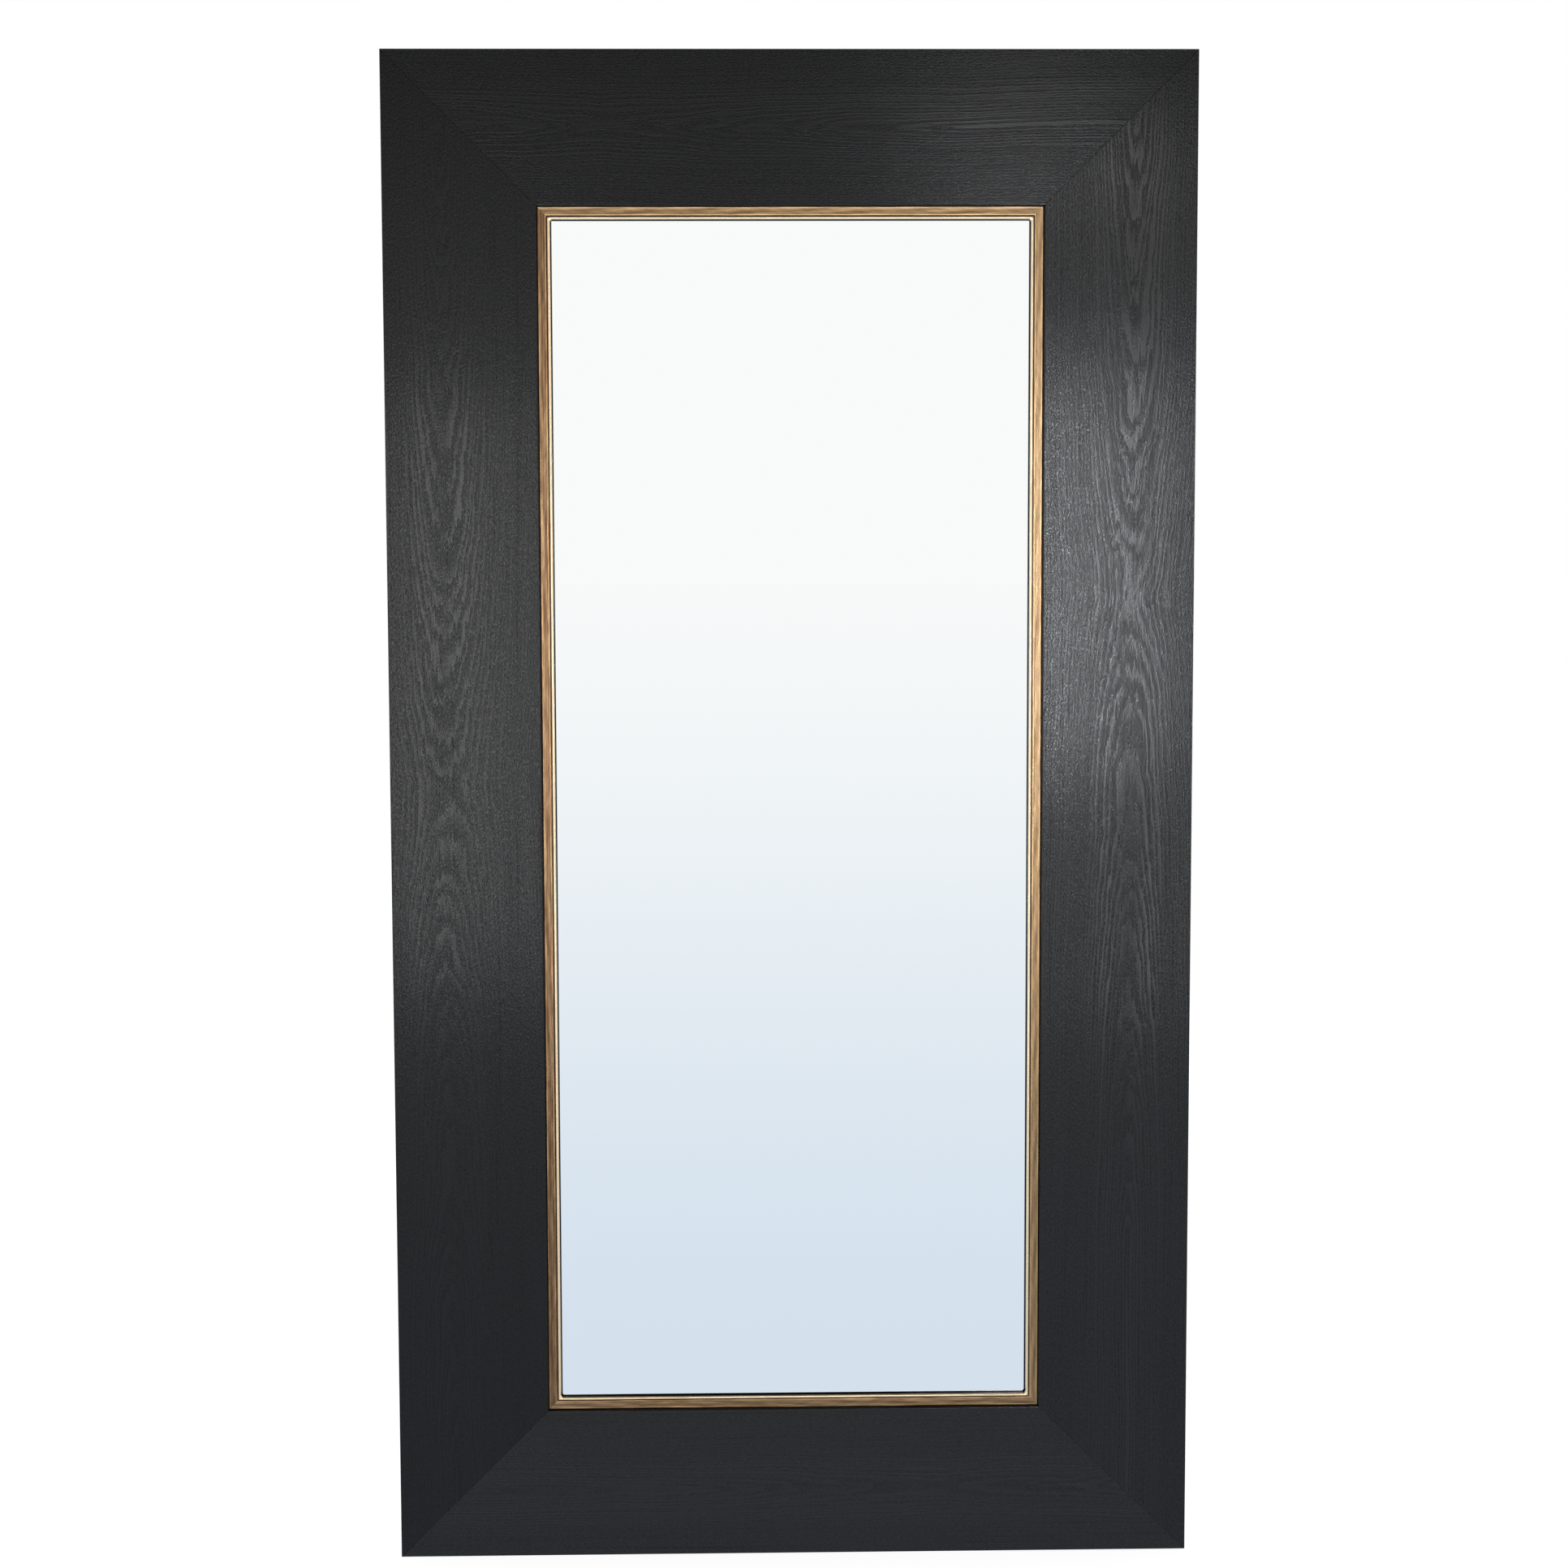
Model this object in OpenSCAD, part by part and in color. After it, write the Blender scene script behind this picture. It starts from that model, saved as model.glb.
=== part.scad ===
// Full-length mirror: a wide mitred frame of stained boards round a gilded slip and a silvered glass.
// X runs across the mirror, Y from its front face to its back, and Z up from the floor.
// The origin lies on the floor, under the middle of the frame.

/* [Frame] */
// Width over the frame
frame_w = 1060; // [900:10:1200]
// Height over the frame
frame_h = 2000; // [1600:10:2200]
// Depth from the front face to the back of the edge boards
frame_d = 45; // [40:1:60]

/* [Face boards] */
// Width of each face board
board_w = 200; // [190:1:230]
// Thickness of the face boards
board_t = 22; // [20:1:26]
// Wood left in front of the rebate that takes the slip
board_lip_t = 10; // [8:0.5:12]
// Width of the rebate that takes the slip's flange
rebate_w = 10; // [8:0.5:14]
// Bevel along the outer arris
outer_arris = 0.6; // [0.3:0.1:1.5]
// Radius of the inner arris, beside the slip
inner_arris = 2; // [1:0.5:4]

/* [Edge boards] */
// Thickness of the boards that fold back from the outer edge
edge_t = 18; // [15:1:20]

/* [Mitre biscuits] */
// Length of a biscuit
biscuit_l = 56; // [45:1:60]
// Width of a biscuit
biscuit_w = 23; // [18:1:26]
// Thickness of a biscuit
biscuit_t = 4; // [3:0.5:5]
// Radius of the cutter that gives the biscuits and their slots their curve
cutter_r = 50; // [45:1:60]
// Distance of the outer biscuit from the frame's two outer edges
biscuit_inset = 85; // [80:1:95]
// Step from the outer biscuit to the inner one, along each edge
biscuit_step = 65; // [55:1:72]
// Play between a biscuit and its slot
biscuit_play = 0.4; // [0.2:0.1:1]

/* [Slip] */
// Visible width of the slip, from the face board to the sight edge
slip_w = 17; // [15:0.5:24]
// Shadow gap between the face board and the slip
slip_gap = 0.8; // [0.4:0.1:1.5]
// How far the slip's outer edge lies below the face boards
slip_drop = 6; // [4.5:0.5:8]
// Depth of the hollow in the slip's face
slip_hollow = 0.5; // [0.2:0.1:1]
// Play between the slip's flange and its rebate
slip_play = 0.5; // [0.3:0.1:1]
// Radius of the bead along the sight edge
bead_r = 2; // [1.5:0.1:2.5]
// How far the bead's crest lies below the face boards
bead_drop = 4; // [3:0.5:5]
// Width of the quirk between bead and face
quirk_w = 0.7; // [0.5:0.1:1.2]
// Depth of the quirk below the face
quirk_d = 0.8; // [0.5:0.1:1.5]

/* [Glass] */
// Thickness of the silvered glass
glass_t = 5; // [4:0.5:6]
// How far the glass lies below the face boards
glass_drop = 12; // [11:0.5:14]
// Width of glass that the slip laps over
glass_lap = 5; // [4:0.5:7]
// Play round the glass in its rebate
glass_play = 1.5; // [1:0.1:2.5]
// Length of the blocks that the glass stands on
block_l = 40; // [25:1:60]
// Distance of each block from the middle of the glass
block_x = 160; // [100:5:200]
// Play between the packing sheet and the slip
sheet_play = 0.8; // [0.5:0.1:1.5]

/* [Back] */
// Thickness of the back panel
panel_t = 4; // [3:0.5:6]
// Width of face board that the back panel laps over
panel_lap = 25; // [22:1:30]
// Distance of the panel screws from the panel's edge
panel_screw_edge = 8; // [6:0.5:10]
// Distance of the end panel screws from the panel's corners
panel_screw_end = 60; // [40:5:90]
// Largest step between panel screws
panel_screw_pitch = 270; // [150:10:350]
// Width of the battens that stiffen the boards
batten_w = 45; // [35:1:50]
// Play between the battens and the back panel
batten_play = 1; // [0.5:0.5:3]
// Bevel along the battens' back arrises
batten_arris = 1.5; // [0.5:0.5:3]
// Distance of the end batten screws from the battens' ends
batten_screw_end = 60; // [45:5:90]
// Largest step between batten screws
batten_screw_pitch = 300; // [200:10:400]

/* [Screws] */
// Diameter of a screw's shank
screw_d = 4; // [3.5:0.1:4.5]
// Diameter of a screw's head
screw_head_d = 8; // [7:0.5:9]
// Height of a pan head
pan_head_h = 2.4; // [1.8:0.1:3]
// Depth that a screw reaches into a face board
screw_bite = 12; // [8:0.5:14]
// Radial play of a screw in a batten, corner plate or strap
screw_play = 0.25; // [0.1:0.05:0.5]
// Radial play of a screw in the back panel, whose holes are drilled oversize
panel_play = 0.75; // [0.5:0.05:1]
// Radial play of a screw in its pilot hole
pilot_play = 0.03; // [0.02:0.01:0.1]
// Depth of a pilot hole past its screw's tip
pilot_extra = 1; // [0.5:0.5:2]
// Play under the pan heads
head_play = 0.05; // [0.02:0.01:0.1]

/* [Corner plates] */
// Length of each leg
plate_leg = 100; // [90:1:110]
// Width of each leg
plate_w = 22; // [18:1:26]
// Thickness of the steel
plate_t = 2.5; // [2:0.1:3.5]
// Distance of the plate from the frame's two outer edges
plate_inset = 50; // [35:1:60]
// Distance of the first screw from the plate's outer corner
plate_hole_first = 45; // [40:1:55]
// Step between the two screws of a leg
plate_hole_step = 42; // [30:1:43]

/* [Hangers] */
// Distance of the rings' pivots below the top of the frame
hanger_drop = 400; // [250:10:600]
// Thickness of the strap
strap_t = 2; // [2:0.1:3]
// Width of the strap
strap_w = 20; // [18:1:24]
// Length of the strap below the pivot
strap_l = 68; // [60:1:80]
// Lift of the strap where it joins the curl
strap_lift = 0.5; // [0.4:0.1:1]
// How far round the ring's bar the strap is curled, in degrees
curl_angle = 290; // [270:1:295]
// Distance of the first strap screw below the pivot
strap_hole_first = 17; // [15:1:20]
// Step between strap screws
strap_hole_step = 20; // [18:1:22]
// Diameter of the ring's wire
ring_wire_d = 5; // [4:0.5:6]
// Clear width inside the ring
ring_inner_w = 30; // [28:1:36]
// Drop from the pivot to the middle of the ring's bow
ring_drop = 28.5; // [26:0.5:36]
// Bend radius of the ring's upper corners
ring_corner_r = 5; // [4:0.5:6]
// Radial play of the ring's bar in the curl
ring_play = 0.08; // [0.04:0.01:0.1]

/* [Wall bumpers] */
// Diameter of a bumper where it sits on the frame
bumper_d = 14; // [10:1:15]
// Diameter of a bumper's face
bumper_face_d = 11; // [8:1:13]
// Height of a bumper
bumper_h = 3; // [2:0.5:4]
// Distance of the bumpers from the frame's top and bottom
bumper_end = 40; // [20:1:80]

/* [Hidden] */
$fn = 64;
SIDES = ["left", "right", "bottom", "top"];
STILES = ["left", "right"];

// How far cutting shapes run past what they cut
over = 5;
// Sections are drawn as inward from the outer edge, then backward from the front face
front_y = -(frame_d + bumper_h) / 2;
mitre_reach = board_w + slip_w + over;
bead_u = board_w + slip_w - bead_r;
quirk_u = bead_u - bead_r - quirk_w;
glass_u = board_w + slip_w - glass_lap;
panel_u = board_w - panel_lap;
batten_u = panel_u - batten_play - batten_w;
batten_d = frame_d - board_t;
plate_hole_u = plate_inset + plate_w / 2;
head_h = (screw_head_d - screw_d) / 2;
wire_r = ring_wire_d / 2;
bore_r = wire_r + ring_play;
pivot_v = board_t + strap_lift + strap_t + bore_r;
pivot_s = frame_h - hanger_drop;
hanger_u = (edge_t + batten_u) / 2;
ring_half_w = ring_inner_w / 2 + wire_r;
ring_leg = ring_drop - ring_corner_r - ring_half_w;
// Length of strap, below the pivot, over which it is lifted
lift_end = 9;
lift_start = 5;

function is_stile(side) = side == "left" || side == "right";
function side_len(side) = is_stile(side) ? frame_h : frame_w;
function gaps_in(span, pitch) = max(1, ceil(span / pitch));
// Even steps from lo to hi, none longer than the pitch
function spread(lo, hi, pitch) = let (n = gaps_in(hi - lo, pitch)) [for (i = [0 : n]) lo + (hi - lo) * i / n];
// The stiles' battens run past the rails' battens, which fit between them
function batten_start(side) = is_stile(side) ? batten_u : batten_u + batten_w;

// Screw places on one side of the frame, as inward from the outer edge and along the side
function batten_places(side) = let (lo = batten_start(side) + batten_screw_end)
    [for (s = spread(lo, side_len(side) - lo, batten_screw_pitch)) [batten_u + batten_w / 2, s]];
function panel_places(side) = let (lo = panel_u + panel_screw_end)
    [for (s = spread(lo, side_len(side) - lo, panel_screw_pitch)) [panel_u + panel_screw_edge, s]];
function plate_places(side) = [
    for (i = [0, 1]) let (lo = plate_inset + plate_hole_first + i * plate_hole_step)
        for (s = [lo, side_len(side) - lo]) [plate_hole_u, s]
];
function hanger_places(side) = is_stile(side)
    ? [for (i = [0 : 2]) [hanger_u, pivot_s - strap_hole_first - i * strap_hole_step]]
    : [];

// Puts children drawn as (inward, backward, along) on one side of the frame
module frame_side(side) {
    if (side == "left") translate([-frame_w / 2, front_y, 0]) children();
    if (side == "right") mirror([1, 0, 0]) translate([-frame_w / 2, front_y, 0]) children();
    if (side == "bottom") translate([frame_w / 2, front_y, 0]) rotate([0, -90, 0]) children();
    if (side == "top")
        translate([frame_w / 2, front_y, frame_h]) mirror([0, 0, 1]) rotate([0, -90, 0]) children();
}

// Extrudes an (inward, along) outline backward, from one depth to another
module slab(front, back) {
    translate([0, back, 0]) rotate([90, 0, 0]) linear_extrude(back - front) children();
}

// Carries an (inward, backward) section along one side and mitres both ends
module mitred_bar(side) {
    len = side_len(side);
    far_reach = len - mitre_reach;
    intersection() {
        translate([0, 0, -over]) linear_extrude(len + 2 * over) children();
        slab(-over, frame_d + over)
            polygon([[-over, -over], [mitre_reach, mitre_reach], [mitre_reach, far_reach], [-over, len + over]]);
    }
}

// Puts children, drawn with their heads up the Z axis, at the given places and depth, heads backward
module at_places(places, depth) {
    for (p = places) translate([p[0], depth, p[1]]) rotate([-90, 0, 0]) children();
}

module flat_head_screw(length) {
    rotate_extrude() polygon([
        [0, 0], [screw_head_d / 2, 0], [screw_d / 2, -head_h],
        [screw_d / 2, screw_d - length], [0, -length]
    ]);
}

module pan_head_screw(length) {
    cap_r = (pow(screw_head_d / 2, 2) + pow(pan_head_h, 2)) / (2 * pan_head_h);
    rotate_extrude() {
        intersection() {
            translate([0, pan_head_h - cap_r]) circle(cap_r);
            square([screw_head_d / 2, pan_head_h]);
        }
        polygon([[0, 0], [screw_d / 2, 0], [screw_d / 2, screw_d - length], [0, -length]]);
    }
}

// The hole that a screw bites into, its mouth at the origin
module pilot_hole() {
    depth = screw_bite + pilot_extra;
    translate([0, 0, -depth]) cylinder(h = depth + over, r = screw_d / 2 + pilot_play);
}

// The clearance hole with its countersink in a clamped piece, whose outer face is at the origin
module sunk_hole(depth) {
    hole_r = screw_d / 2 + screw_play;
    translate([0, 0, -depth - over]) cylinder(h = depth + 2 * over, r = hole_r);
    translate([0, 0, -head_h]) cylinder(h = head_h, r1 = hole_r, r2 = hole_r + head_h);
}

// A biscuit's outline: two arcs of the cutter, trimmed at the tips
module biscuit_outline(play) {
    intersection() {
        translate([0, cutter_r - biscuit_w / 2]) circle(cutter_r + play);
        translate([0, biscuit_w / 2 - cutter_r]) circle(cutter_r + play);
        square([biscuit_l + 2 * play, biscuit_w + 4 * play], center = true);
    }
}

// The biscuits in the two mitres at the ends of a side
module biscuits(side, play, thickness) {
    for (i = [0, 1]) {
        at = biscuit_inset + i * biscuit_step;
        translate([at, board_t / 2, at]) slab(-thickness / 2, thickness / 2) rotate(45) biscuit_outline(play);
        translate([at, board_t / 2, side_len(side) - at])
            slab(-thickness / 2, thickness / 2) rotate(-45) biscuit_outline(play);
    }
}

module board_section() {
    polygon([
        [outer_arris, 0], [board_w - inner_arris, 0], [board_w - inner_arris, inner_arris],
        [board_w, inner_arris], [board_w, board_lip_t], [board_w - rebate_w, board_lip_t],
        [board_w - rebate_w, board_t], [edge_t, board_t], [edge_t, edge_t], [outer_arris / 2, outer_arris / 2]
    ]);
    translate([board_w - inner_arris, inner_arris]) circle(inner_arris);
}

module face_board(side) {
    color("#2f3032") frame_side(side) difference() {
        mitred_bar(side) board_section();
        biscuits(side, biscuit_play, biscuit_t + biscuit_play);
        for (places = [batten_places(side), panel_places(side), plate_places(side), hanger_places(side)])
            at_places(places, board_t) pilot_hole();
    }
}

module edge_board(side) {
    color("#28292b") frame_side(side) mitred_bar(side) polygon([
        [0, outer_arris], [outer_arris / 2, outer_arris / 2], [edge_t, edge_t],
        [edge_t, frame_d], [outer_arris, frame_d], [0, frame_d - outer_arris]
    ]);
}

module mitre_biscuits() {
    color("#c9a878") for (side = STILES) frame_side(side) biscuits(side, 0, biscuit_t);
}

// Flange under the board, hollow face, quirk, and a bead that stands on the rebate for the glass
module slip_section() {
    face_u = board_w + slip_gap;
    face_w = quirk_u - face_u;
    hollow_r = (pow(face_w / 2, 2) + pow(slip_hollow, 2)) / (2 * slip_hollow);
    rebate_u = glass_u - glass_play;
    difference() {
        polygon([
            [face_u, slip_drop], [quirk_u, slip_drop], [quirk_u, slip_drop + quirk_d],
            [quirk_u + quirk_w, slip_drop + quirk_d], [quirk_u + quirk_w, bead_drop + bead_r],
            [board_w + slip_w, bead_drop + bead_r], [board_w + slip_w, glass_drop], [rebate_u, glass_drop],
            [rebate_u, board_t], [board_w - rebate_w + slip_play, board_t],
            [board_w - rebate_w + slip_play, board_lip_t], [face_u, board_lip_t]
        ]);
        translate([face_u + face_w / 2, slip_drop + slip_hollow - hollow_r]) circle(hollow_r, $fn = 180);
    }
    translate([bead_u, bead_drop + bead_r]) circle(bead_r);
}

module slip(side) {
    color("#b8905a") frame_side(side) mitred_bar(side) slip_section();
}

// A slab over the opening, with its edges a set distance inside the frame's outer edges
module inner_slab(inset, front, back) {
    translate([inset - frame_w / 2, front_y + front, inset])
        cube([frame_w - 2 * inset, back - front, frame_h - 2 * inset]);
}

module mirror_glass() {
    color("#dfe8ee") inner_slab(glass_u, glass_drop, glass_drop + glass_t);
}

module glass_setting_blocks() {
    color("#3a3a3a") for (x = [-block_x, block_x])
        translate([x - block_l / 2, front_y + glass_drop, glass_u - glass_play])
            cube([block_l, glass_t, glass_play]);
}

module backing_sheet() {
    color("#b79a6d") inner_slab(glass_u - glass_play + sheet_play, glass_drop + glass_t, board_t);
}

module back_panel() {
    color("#8a6a48") difference() {
        inner_slab(panel_u, board_t, board_t + panel_t);
        for (side = SIDES) frame_side(side) at_places(panel_places(side), board_t + panel_t)
            translate([0, 0, -panel_t - over]) cylinder(h = panel_t + 2 * over, r = screw_d / 2 + panel_play);
    }
}

module panel_screws() {
    reach = panel_t + head_play;
    color("#c8c8c8") for (side = SIDES) frame_side(side)
        at_places(panel_places(side), board_t + reach) pan_head_screw(reach + screw_bite);
}

module batten(side) {
    lo = batten_start(side);
    inner_u = batten_u + batten_w;
    arris_v = frame_d - batten_arris;
    color("#c2a377") frame_side(side) difference() {
        translate([0, 0, lo]) linear_extrude(side_len(side) - 2 * lo) polygon([
            [batten_u, board_t], [inner_u, board_t], [inner_u, arris_v],
            [inner_u - batten_arris, frame_d], [batten_u + batten_arris, frame_d], [batten_u, arris_v]
        ]);
        at_places(batten_places(side), frame_d) sunk_hole(batten_d);
    }
}

module batten_screws() {
    color("#c8a850") for (side = SIDES) frame_side(side)
        at_places(batten_places(side), frame_d) flat_head_screw(batten_d + screw_bite);
}

// A leg's outline from the plate's outer corner, with a round end
module plate_leg_outline() {
    square([plate_w, plate_leg - plate_w / 2]);
    translate([plate_w / 2, plate_leg - plate_w / 2]) circle(plate_w / 2);
}

// A steel angle across the mitre at the bottom of a stile
module corner_plate() {
    color("#b9bcc0") difference() {
        translate([plate_inset, 0, plate_inset]) slab(board_t, board_t + plate_t) {
            plate_leg_outline();
            rotate(-90) mirror([1, 0]) plate_leg_outline();
        }
        for (i = [0, 1]) {
            at = plate_inset + plate_hole_first + i * plate_hole_step;
            at_places([[plate_hole_u, at], [at, plate_hole_u]], board_t + plate_t) sunk_hole(plate_t);
        }
    }
}

// Turns what stands at the bottom of a side over to its top
module flipped() {
    translate([0, 0, frame_h]) mirror([0, 0, 1]) children();
}

module corner_plate_screws() {
    color("#c8c8c8") for (side = SIDES) frame_side(side)
        at_places(plate_places(side), board_t + plate_t) flat_head_screw(plate_t + screw_bite);
}

// The strap's section, as (backward, along) from the board and the pivot: flat, lift and open curl
module strap_section() {
    pivot = pivot_v - board_t;
    curl_r = bore_r + strap_t;
    tip = 180 - curl_angle;
    difference() {
        translate([pivot, 0]) circle(curl_r);
        translate([pivot, 0]) circle(bore_r);
        translate([pivot, 0]) polygon([
            [0, 0], 2 * curl_r * [cos(tip), sin(tip)], 2 * curl_r * [-1, -1], [-2 * curl_r, 0]
        ]);
    }
    polygon([
        [0, -strap_l], [strap_t, -strap_l], [strap_t, -lift_end],
        [strap_t + strap_lift, -lift_start], [strap_t + strap_lift, 0],
        [strap_lift, 0], [strap_lift, -lift_start], [0, -lift_end]
    ]);
}

// The strap's outline, with a round lower end
module strap_outline() {
    translate([-strap_w / 2, strap_w / 2 - strap_l]) square([strap_w, strap_l]);
    translate([0, strap_w / 2 - strap_l]) circle(strap_w / 2);
}

// A strap that is curled round the ring's bar and screwed on below it
module hanger_plate(side) {
    color("#b9bcc0") frame_side(side) translate([hanger_u, 0, pivot_s]) difference() {
        intersection() {
            translate([-strap_w, board_t, 0]) rotate([90, 0, 90]) linear_extrude(2 * strap_w) strap_section();
            slab(board_t - over, frame_d) strap_outline();
        }
        for (i = [0 : 2]) at_places([[0, -strap_hole_first - i * strap_hole_step]], board_t + strap_t)
            sunk_hole(strap_t);
    }
}

// A closed wire ring: a straight bar in the curl, two corners, two legs and a round bow
module hanger_ring(side) {
    color("#c4c7ca") frame_side(side) translate([hanger_u, pivot_v, pivot_s]) rotate([90, 0, 0]) {
        translate([ring_corner_r - ring_half_w, 0, 0]) rotate([0, 90, 0])
            cylinder(h = 2 * (ring_half_w - ring_corner_r), r = wire_r);
        for (way = [0, 1]) mirror([way, 0, 0]) {
            translate([ring_half_w - ring_corner_r, -ring_corner_r, 0])
                rotate_extrude(angle = 90) translate([ring_corner_r, 0]) circle(wire_r);
            translate([ring_half_w, -ring_corner_r, 0]) rotate([90, 0, 0]) cylinder(h = ring_leg, r = wire_r);
        }
        translate([0, -ring_corner_r - ring_leg, 0]) rotate([0, 0, 180])
            rotate_extrude(angle = 180) translate([ring_half_w, 0]) circle(wire_r);
    }
}

module hanger_screws() {
    color("#c8c8c8") for (side = STILES) frame_side(side)
        at_places(hanger_places(side), board_t + strap_t) flat_head_screw(strap_t + screw_bite);
}

module wall_bumpers() {
    color("#303030") for (side = STILES) frame_side(side)
        at_places([for (s = [bumper_end, frame_h - bumper_end]) [edge_t / 2, s]], frame_d)
            cylinder(h = bumper_h, r1 = bumper_d / 2, r2 = bumper_face_d / 2);
}

module top_rail() face_board("top");
module bottom_rail() face_board("bottom");
module left_stile() face_board("left");
module right_stile() face_board("right");
module top_edge() edge_board("top");
module bottom_edge() edge_board("bottom");
module left_edge() edge_board("left");
module right_edge() edge_board("right");
module top_slip() slip("top");
module bottom_slip() slip("bottom");
module left_slip() slip("left");
module right_slip() slip("right");
module top_batten() batten("top");
module bottom_batten() batten("bottom");
module left_batten() batten("left");
module right_batten() batten("right");
module corner_plate_top_left() flipped() frame_side("left") corner_plate();
module corner_plate_top_right() flipped() frame_side("right") corner_plate();
module corner_plate_bottom_left() frame_side("left") corner_plate();
module corner_plate_bottom_right() frame_side("right") corner_plate();
module left_hanger_plate() hanger_plate("left");
module right_hanger_plate() hanger_plate("right");
module left_hanger_ring() hanger_ring("left");
module right_hanger_ring() hanger_ring("right");

top_rail();
bottom_rail();
left_stile();
right_stile();
top_edge();
bottom_edge();
left_edge();
right_edge();
mitre_biscuits();
top_slip();
bottom_slip();
left_slip();
right_slip();
mirror_glass();
glass_setting_blocks();
backing_sheet();
back_panel();
panel_screws();
top_batten();
bottom_batten();
left_batten();
right_batten();
batten_screws();
corner_plate_top_left();
corner_plate_top_right();
corner_plate_bottom_left();
corner_plate_bottom_right();
corner_plate_screws();
left_hanger_plate();
right_hanger_plate();
left_hanger_ring();
right_hanger_ring();
hanger_screws();
wall_bumpers();
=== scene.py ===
import math

import bpy
import numpy as np
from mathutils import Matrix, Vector


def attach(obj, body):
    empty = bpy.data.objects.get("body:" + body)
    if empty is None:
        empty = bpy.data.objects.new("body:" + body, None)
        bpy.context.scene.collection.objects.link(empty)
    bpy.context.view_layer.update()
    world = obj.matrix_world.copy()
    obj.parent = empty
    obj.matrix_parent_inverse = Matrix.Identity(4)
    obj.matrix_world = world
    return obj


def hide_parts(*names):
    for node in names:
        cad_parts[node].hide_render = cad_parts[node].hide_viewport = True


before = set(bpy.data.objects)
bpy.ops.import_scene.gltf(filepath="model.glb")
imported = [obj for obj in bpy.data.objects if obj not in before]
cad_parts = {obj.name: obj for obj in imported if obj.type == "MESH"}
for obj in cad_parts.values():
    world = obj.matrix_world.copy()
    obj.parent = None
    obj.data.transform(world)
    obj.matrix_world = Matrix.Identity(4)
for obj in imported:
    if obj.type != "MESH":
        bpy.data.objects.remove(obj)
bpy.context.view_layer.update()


# Camera: the photograph's own view, fitted to the frame's corners. It stands 4.1 m in front of the
# mirror, a little left of its middle, and looks slightly down.
SENSOR_MM, LENS_MM = 36, 71.58
CAMERA_AT = (-0.1064, -4.1232, 1.444)
CAMERA_TURN_DEG = (84.4521, 0.1564, -1.3488)

scene = bpy.context.scene
scene.view_settings.view_transform = "Standard"
camera_lens = bpy.data.cameras.new("camera")
camera_lens.sensor_width = SENSOR_MM
camera_lens.lens = LENS_MM
camera = bpy.data.objects.new("camera", camera_lens)
camera.location = CAMERA_AT
camera.rotation_euler = [math.radians(turn) for turn in CAMERA_TURN_DEG]
scene.collection.objects.link(camera)
scene.camera = camera


# Room: a plain pale floor under white light. The camera and the mirror see it white, and the mirror
# sees the floor near its foot pale blue. Four soft boxes in front stand just outside what the
# mirror shows, and three more light the back and the sides.
class Number:
    """A number that nodes work out: + - * / and ** add Math nodes to its material."""

    def __init__(self, finish, socket):
        self.finish, self.socket = finish, socket

    def math(self, operation, *others):
        node = self.finish.tree.nodes.new("ShaderNodeMath")
        node.operation = operation
        for socket, value in zip(node.inputs, (self,) + others):
            self.finish.plug(socket, value)
        return Number(self.finish, node.outputs[0])

    def __add__(self, other): return self.math("ADD", other)
    def __sub__(self, other): return self.math("SUBTRACT", other)
    def __mul__(self, other): return self.math("MULTIPLY", other)
    def __truediv__(self, other): return self.math("DIVIDE", other)
    def __pow__(self, other): return self.math("POWER", other)
    def __neg__(self): return self * -1.0
    def size(self): return self.math("ABSOLUTE")
    def part(self): return self.math("FRACT")
    def least(self, other): return self.math("MINIMUM", other)
    def most(self, other): return self.math("MAXIMUM", other)

    def rise(self, low, high):
        """0 below low, 1 above high, and a smooth step between them."""
        node = self.finish.tree.nodes.new("ShaderNodeMapRange")
        node.interpolation_type = "SMOOTHSTEP"
        for name, value in (("Value", self), ("From Min", low), ("From Max", high)):
            self.finish.plug(node.inputs[name], value)
        return Number(self.finish, node.outputs[0])

    def rest(self):
        """What is left of 1."""
        return self * -1.0 + 1.0


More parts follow.
